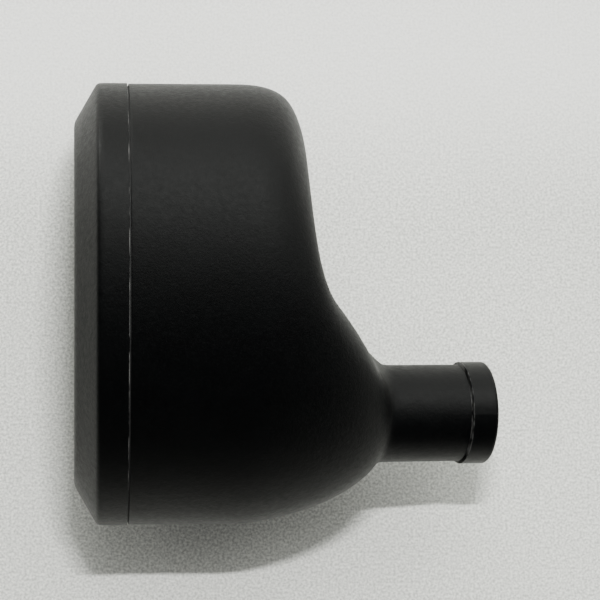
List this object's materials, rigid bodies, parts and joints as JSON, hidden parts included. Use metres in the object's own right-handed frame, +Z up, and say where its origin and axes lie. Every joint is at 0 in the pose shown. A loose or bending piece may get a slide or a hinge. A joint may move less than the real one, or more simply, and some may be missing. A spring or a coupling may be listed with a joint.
{
  "type": "in-ear monitor earpiece",
  "caption": "Hard-shelled left earphone earpiece: chamfered faceplate, contoured body and an offset tilted nozzle with a tip-retaining lip; dynamic driver inside.",
  "frame": {"origin": "middle of the footprint, on the surface that the earpiece lies on", "axes": "+X from the flat outer face towards the nozzle, +Y towards the top (the socket's side), +Z up"},
  "size_m": [0.0238, 0.0248, 0.0173],
  "materials": {
    "shell_finish": "matte",
    "faceplate_finish": "matte",
    "collar_finish": "satin",
    "screen_steel": "satin",
    "black_plastic": "satin",
    "seal_rubber": "matte",
    "damper_foam": "matte",
    "contact_gold": "polished",
    "driver_brass": "satin",
    "motor_steel": "satin",
    "magnet_nickel": "satin",
    "coil_copper": "satin",
    "diaphragm_film": "satin",
    "damping_paper": "matte",
    "board_green": "satin",
    "solder": "satin",
    "wire_sleeve": "satin",
    "wire_sleeve_dark": "satin"
  },
  "bodies": {
    "housing": {"shell": "shell_finish", "faceplate": "faceplate_finish", "nozzle_collar": "collar_finish", "socket_housing": "black_plastic", "faceplate_seal": "seal_rubber", "nozzle_screen": "screen_steel", "nozzle_damper": "damper_foam", "socket_contact_a": "contact_gold", "socket_contact_b": "contact_gold", "rear_vent_screen": "screen_steel", "front_vent_screen": "screen_steel", "driver_baffle": "black_plastic", "driver_seal": "seal_rubber", "driver_frame": "driver_brass", "driver_yoke": "motor_steel", "driver_magnet": "magnet_nickel", "pole_washer": "motor_steel", "diaphragm_surround": "diaphragm_film", "diaphragm_ring": "driver_brass", "driver_front_cover": "driver_brass", "rear_damping_paper": "damping_paper", "terminal_board": "board_green", "board_solder_joint_a": "solder", "board_solder_joint_b": "solder", "tail_solder_joint_a": "solder", "tail_solder_joint_b": "solder", "lead_wire_a": "wire_sleeve", "lead_wire_b": "wire_sleeve_dark"},
    "diaphragm": {"voice_coil": "coil_copper", "diaphragm_dome": "diaphragm_film"}
  },
  "joints": [
    {"name": "diaphragm_travel", "type": "slide", "parent": "housing", "child": "diaphragm", "axis": [1, 0, 0], "range_m": [-0.00025, 0.00025], "stiffness_N_per_m": 10, "deforming": ["diaphragm_surround"]}
  ]
}
